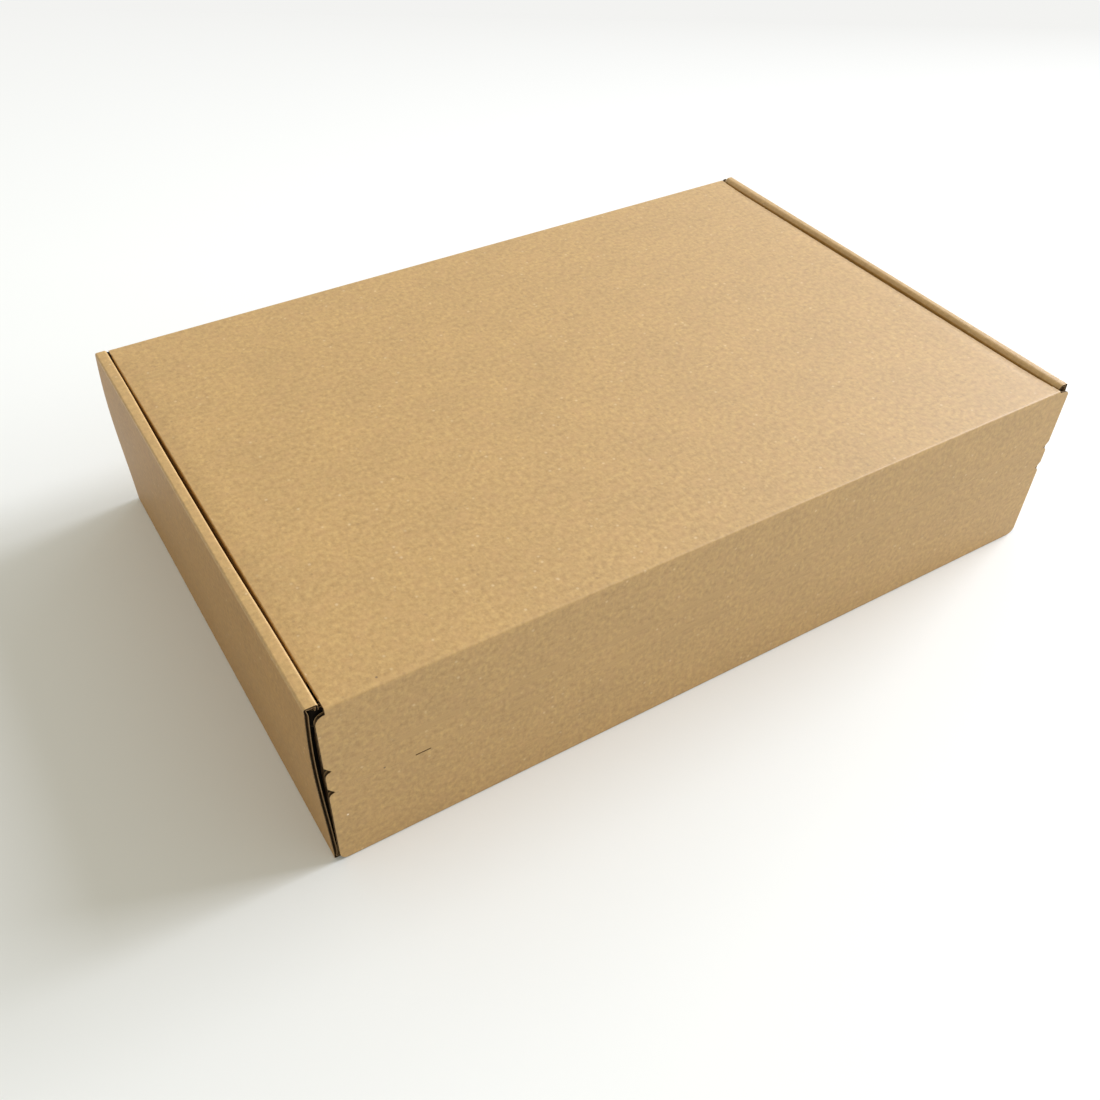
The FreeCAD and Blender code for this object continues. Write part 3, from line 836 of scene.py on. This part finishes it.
def kraft_paper(name, main, dark, light, fleck, rosy="#bb9058", roughness=0.52, gloss=0.95, marks=()):
    """Uncoated brown kraft liner: matt long-fibre paper, cloudy, with darker and lighter fibre flecks,
    a faint washboard from the flutes below, and paler fibres along the scored folds,
    partly broken fibres and partly a painted highlight on the fold ridges.
    marks are single specks, each (centre in millimetres, radius, colour)."""
    material, tree, shader = new_material(name, roughness, gloss)

    # Fibre clumps of 2 mm, clouds of 22 mm, single fibres along the machine direction, warm patches of 6 mm
    clumps = sheet_pattern(tree, 500.0, 4.0, 0.66)
    clouds = sheet_pattern(tree, 45.0, 2.0)
    fibres = sheet_pattern(tree, 1000.0, 2.0, 0.6, (1.0, 0.45, 1.0))
    colour = blend_colour(tree, tone(tree, clumps.outputs[0], 0.3, 0.72, 0.0, 1.0), hex_colour(dark),
                          hex_colour(light))
    colour = blend_colour(tree, 0.6, hex_colour(main), colour)
    shade = tone(tree, clouds.outputs[0], 0.3, 0.7, 0.955, 1.045)
    colour = blend_colour(tree, 1.0, colour, shade, "MULTIPLY")
    streak = tone(tree, fibres.outputs[0], 0.3, 0.7, 0.92, 1.08)
    colour = blend_colour(tree, 1.0, colour, streak, "MULTIPLY")
    warm = sheet_pattern(tree, 160.0, 2.0)
    colour = blend_colour(tree, tone(tree, warm.outputs[0], 0.45, 0.7, 0.0, 0.3), colour, hex_colour(rosy))
    colour = blend_colour(tree, flecks(tree, 3.1, 0.2, 0.66, 0.3), colour, hex_colour(fleck))
    colour = blend_colour(tree, flecks(tree, 3.7, 0.17, 0.66, 0.28), colour, hex_colour("#ecd6b0"))
    for centre, radius, tint in marks:
        where = add_node(tree, "ShaderNodeTexCoord")
        apart = add_node(tree, "ShaderNodeVectorMath", {0: where.outputs["Object"]}, operation="DISTANCE")
        apart.inputs[1].default_value = [c * MM for c in centre]
        near = tone(tree, apart.outputs["Value"], radius * MM * 0.5, radius * MM, 0.75, 0.0)
        colour = blend_colour(tree, near, colour, hex_colour(tint))
    # Paler along the folds: partly broken fibres, partly a painted highlight on the fold ridges
    wear_and_highlight = add_node(tree, "ShaderNodeAttribute", attribute_name="fold_wear_and_highlight")
    worn_and_highlit = tone(tree, wear_and_highlight.outputs["Fac"], 0.55, 1.0, 0.0, 0.12)
    colour = blend_colour(tree, worn_and_highlit, colour, hex_colour(light))
    tree.links.new(colour, shader.inputs["Base Color"])

    # Relief: fibre tooth of a few hundredths, washboard of about a hundredth at the flute pitch
    tooth = sheet_pattern(tree, 1300.0, 3.0, 0.6, (1.0, 0.4, 1.0))
    place = add_node(tree, "ShaderNodeAttribute", attribute_name="sheet_place")
    split = add_node(tree, "ShaderNodeSeparateXYZ", {0: place.outputs["Vector"]})
    angle = calculate(tree, "MULTIPLY", split.outputs[1], 2 * math.pi / (FLUTE_PITCH * MM))
    height = calculate(tree, "MULTIPLY_ADD", calculate(tree, "SINE", angle), 0.12, tooth.outputs[0])
    bump = add_node(tree, "ShaderNodeBump", {"Height": height}, Distance=0.00006, Strength=0.6)
    tree.links.new(bump.outputs[0], shader.inputs["Normal"])
    return material


def own_pattern(tree, scale, detail, dark, light):
    """Noise by the piece's own place, and two colours blended by it; scale is in features per metre."""
    place = add_node(tree, "ShaderNodeTexCoord")
    noise = add_node(tree, "ShaderNodeTexNoise", {"Vector": place.outputs["Object"]},
                     Scale=scale, Detail=detail).outputs[0]
    share = tone(tree, noise, 0.3, 0.7, 0.0, 1.0)
    return noise, blend_colour(tree, share, hex_colour(dark), hex_colour(light))


def torn_paper(name, dark, light):
    """Raw paper edge or medium: open, rough fibres without the liner's calendered face."""
    material, tree, shader = new_material(name, 0.95, 0.2)
    fibres, colour = own_pattern(tree, 1500.0, 3.0, dark, light)
    tree.links.new(colour, shader.inputs["Base Color"])
    bump = add_node(tree, "ShaderNodeBump", {"Height": fibres}, Distance=0.0001, Strength=0.6)
    tree.links.new(bump.outputs[0], shader.inputs["Normal"])
    return material


def adhesive_tape():
    """Double-sided tissue tape: pale, slightly yellow, with the satin of its adhesive."""
    material, tree, shader = new_material("tissue_tape", 0.45)
    _tissue, colour = own_pattern(tree, 700.0, 4.0, "#d9cfb4", "#efe8d2")
    tree.links.new(colour, shader.inputs["Base Color"])
    return material


# Camera, floor and light: eye point, heading, dip, roll and focal length of the photograph,
# worked out from the box's own edges
EYE = (-205.5, -307.4, 319.6)
HEADING, DIP, ROLL_ANGLE = math.radians(32.298), math.radians(42.65), math.radians(1.092)
FOCAL_PIXELS, IMAGE_PIXELS, SENSOR = 1155.0, 1100.0, 36.0
TABLE_REACH = 3000.0
LAMP_AIM = (0.0, 0.0, 0.05)


def make_camera():
    """Camera at the photograph's eye point."""
    data = bpy.data.cameras.new("camera")
    data.sensor_width = SENSOR
    data.lens = FOCAL_PIXELS / IMAGE_PIXELS * SENSOR
    data.clip_start, data.clip_end = 0.01, 50.0
    camera = bpy.data.objects.new("camera", data)
    forward = Vector((math.sin(HEADING) * math.cos(DIP), math.cos(HEADING) * math.cos(DIP), -math.sin(DIP)))
    turn = forward.to_track_quat("-Z", "Y").to_matrix() @ Matrix.Rotation(ROLL_ANGLE, 3, "Z")
    camera.matrix_world = Matrix.Translation(Vector(EYE) * MM) @ turn.to_4x4()
    bpy.context.scene.collection.objects.link(camera)
    bpy.context.scene.camera = camera


def seen_directly(tree):
    """1 where a camera, glossy or transmission ray arrives."""
    path = add_node(tree, "ShaderNodeLightPath")
    seen = calculate(tree, "MAXIMUM", path.outputs["Is Camera Ray"], path.outputs["Is Glossy Ray"])
    return calculate(tree, "MAXIMUM", seen, path.outputs["Is Transmission Ray"])


def floor_paint():
    """Matt white table: behind the box it is also seen with a faint glow, so it runs out to pale grey."""
    material, tree, shader = new_material("white_table", 0.95, 0.0)
    shader.inputs["Base Color"].default_value = hex_colour("#eeeeea")
    place = add_node(tree, "ShaderNodeTexCoord")
    behind = add_node(tree, "ShaderNodeVectorMath", {0: place.outputs["Object"]}, operation="DOT_PRODUCT")
    behind.inputs[1].default_value = (math.sin(HEADING), math.cos(HEADING), 0.0)
    away = tone(tree, behind.outputs["Value"], 0.2, 0.62, 0.0, 1.0)
    glow = add_node(tree, "ShaderNodeEmission", Color=hex_colour("#f3f3f1"), Strength=1.0)
    share = calculate(tree, "MULTIPLY", away, seen_directly(tree))
    mix = add_node(tree, "ShaderNodeMixShader", {0: share, 1: shader.outputs[0], 2: glow.outputs[0]})
    tree.links.new(mix.outputs[0], tree.nodes["Material Output"].inputs["Surface"])
    return material


def make_floor():
    """The table the box lies on."""
    corners = [Vector((x, y, 0)) * TABLE_REACH for x, y in ((-1, -1), (1, -1), (1, 1), (-1, 1))]
    new_piece("floor", corners, [(0, 1, 2, 3)], [floor_paint()])


def make_world():
    """Pale room: soft even light on the object, white where it is seen directly."""
    world = bpy.data.worlds.new("studio")
    bpy.context.scene.world = world
    world.use_nodes = True
    tree = world.node_tree
    tree.nodes.clear()
    fill = add_node(tree, "ShaderNodeBackground", Color=hex_colour("#fffdf0"), Strength=0.61)
    white = add_node(tree, "ShaderNodeBackground", Color=hex_colour("#fdfdfc"), Strength=1.0)
    mix = add_node(tree, "ShaderNodeMixShader",
                   {0: seen_directly(tree), 1: fill.outputs[0], 2: white.outputs[0]})
    add_node(tree, "ShaderNodeOutputWorld", {"Surface": mix.outputs[0]})


def make_lamp(name, place, width, height, power, colour):
    """Soft rectangle of light in metres and watts, turned to the box."""
    lamp = bpy.data.lights.new(name, "AREA")
    lamp.shape = "RECTANGLE"
    lamp.size, lamp.size_y = width, height
    lamp.energy = power
    lamp.color = hex_colour(colour)[:3]
    item = bpy.data.objects.new(name, lamp)
    item.location = place
    item.rotation_euler = (Vector(LAMP_AIM) - Vector(place)).to_track_quat("-Z", "Y").to_euler()
    bpy.context.scene.collection.objects.link(item)


bpy.context.scene.view_settings.view_transform = "Standard"
make_camera()
make_floor()
make_world()
make_lamp("low_window", (3.1, -0.03, 0.78), 2.4, 0.6, 122.0, "#ecf1ff")
make_lamp("middle_window", (2.77, 0.14, 1.65), 1.3, 0.7, 48.0, "#ecf1ff")
make_lamp("high_window", (2.26, -0.46, 2.27), 0.9, 0.6, 30.0, "#ecf1ff")
make_lamp("corner_window", (2.24, 1.62, 1.6), 1.3, 0.9, 8.0, "#e6eeff")

# Single specks: a pale fibre and two dark ones
specks = (
    ((-147.6, -103.6, 21.4), 0.45, "#f4ead6"),
    ((-131.7, -100.5, 72.2), 0.5, "#5d4426"),
    ((-134.0, -103.6, 35.5), 0.5, "#4a361f"),
)
# Outer face of the sheet, and of its side walls, darker there as painted shade; inner face;
# outer face deep in the gaps, near black as painted shade; raw edges
liner = kraft_paper("kraft_liner", "#b38d4e", "#997237", "#cca765", "#7f5d35", marks=specks)
# Side walls' liner: the same kraft made darker and more saturated, as painted shade on the walls
side_painted_shade_liner = kraft_paper("kraft_side_painted_shade_liner", "#a57832", "#8a6122", "#ba8f45", "#725024", "#ae7b39",
                         roughness=0.52, gloss=0.75)
inside = kraft_paper("kraft_inner_liner", "#8d6d45", "#7a5a36", "#a0805a", "#6a4d2c", "#8d6d45",
                     roughness=0.8, gloss=0.4)
# Near-black liner: painted shade on the wall deep in the gaps beside the flap
painted_shade = kraft_paper("kraft_painted_shade_liner", "#15100a", "#0e0a06", "#1e170f", "#0a0704", "#15100a",
                     roughness=0.9, gloss=0.1)
cut = torn_paper("kraft_cut_edge", "#7d6342", "#b1946b")
# Fluted medium: brown paper made almost black, as painted shade in the flutes
medium = torn_paper("kraft_medium_painted_shade", "#33271a", "#4f3d29")
materials = [liner, inside, cut, side_painted_shade_liner, painted_shade]

# Folded sheet: liners, and the outer face of the flap on its own, because its slits are cut into it
shell, ribbon, face = Shell(), Ribbon(), Shell()
flap = flap_stations()
face.layer(flap, flap_columns, main_place, 0.0, LINER, (OUTER, INNER_FACE, CUT))
shell.layer(flap, flap_columns, main_place, BOARD - LINER, BOARD, (INNER_FACE, INNER_FACE, CUT))
ribbon.strip(resample(flap, FLUTE_STEP), flap_flutes, main_place)
top_run(shell, ribbon)
tray_run(shell, ribbon)
for hand in (-1, 1):
    side_wall(shell, ribbon, hand)
    bottom_side(shell, hand)
    inner_panel(shell, ribbon, hand)
    wing(shell, hand)
    corner_flap(shell, ribbon, hand, WALL_FRONT, 1)
    corner_flap(shell, ribbon, hand, BACK, -1)

paint_recess_shade(shell)

flap_face = liner_piece("flap_face", face, materials)
tear = tear_tree()
for height, open_share in zip(TEAR_LINES, (TORN_WIDTH / SLIT_WIDTH, 1.0)):
    start = Vector((FLAP_LEFT + NOTCH_DEPTH + SLIT_PITCH + SLIT_LENGTH / 2, FRONT + LINER / 2, height)) * MM
    apply_tree(flap_face, tear, {"Start": list(start), "Open": open_share, "Cut": cut, "Face": liner})
sheet = join_pieces("folded_sheet", [liner_piece("liners", shell, materials), flap_face])
sheet.data.polygons.foreach_set("use_smooth", [True] * len(sheet.data.polygons))
sheet.data.set_sharp_from_angle(angle=math.radians(35))
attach(sheet, "root")
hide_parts("folded_board")

# Fluted medium between the liners
flutes = new_piece("board_flutes", ribbon.points, ribbon.faces)
facing = flutes.data.attributes.new("facing", "FLOAT_VECTOR", "POINT")
facing.data.foreach_set("vector", [c * MM for spot in ribbon.facing for c in spot])
wave = flutes.data.attributes.new("wave", "FLOAT", "POINT")
wave.data.foreach_set("value", ribbon.wave)
apply_tree(flutes, flute_tree(), {"Finish": medium})
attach(flutes, "root")

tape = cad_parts["seal_tape"]
for slot in tape.material_slots:
    slot.material = adhesive_tape()
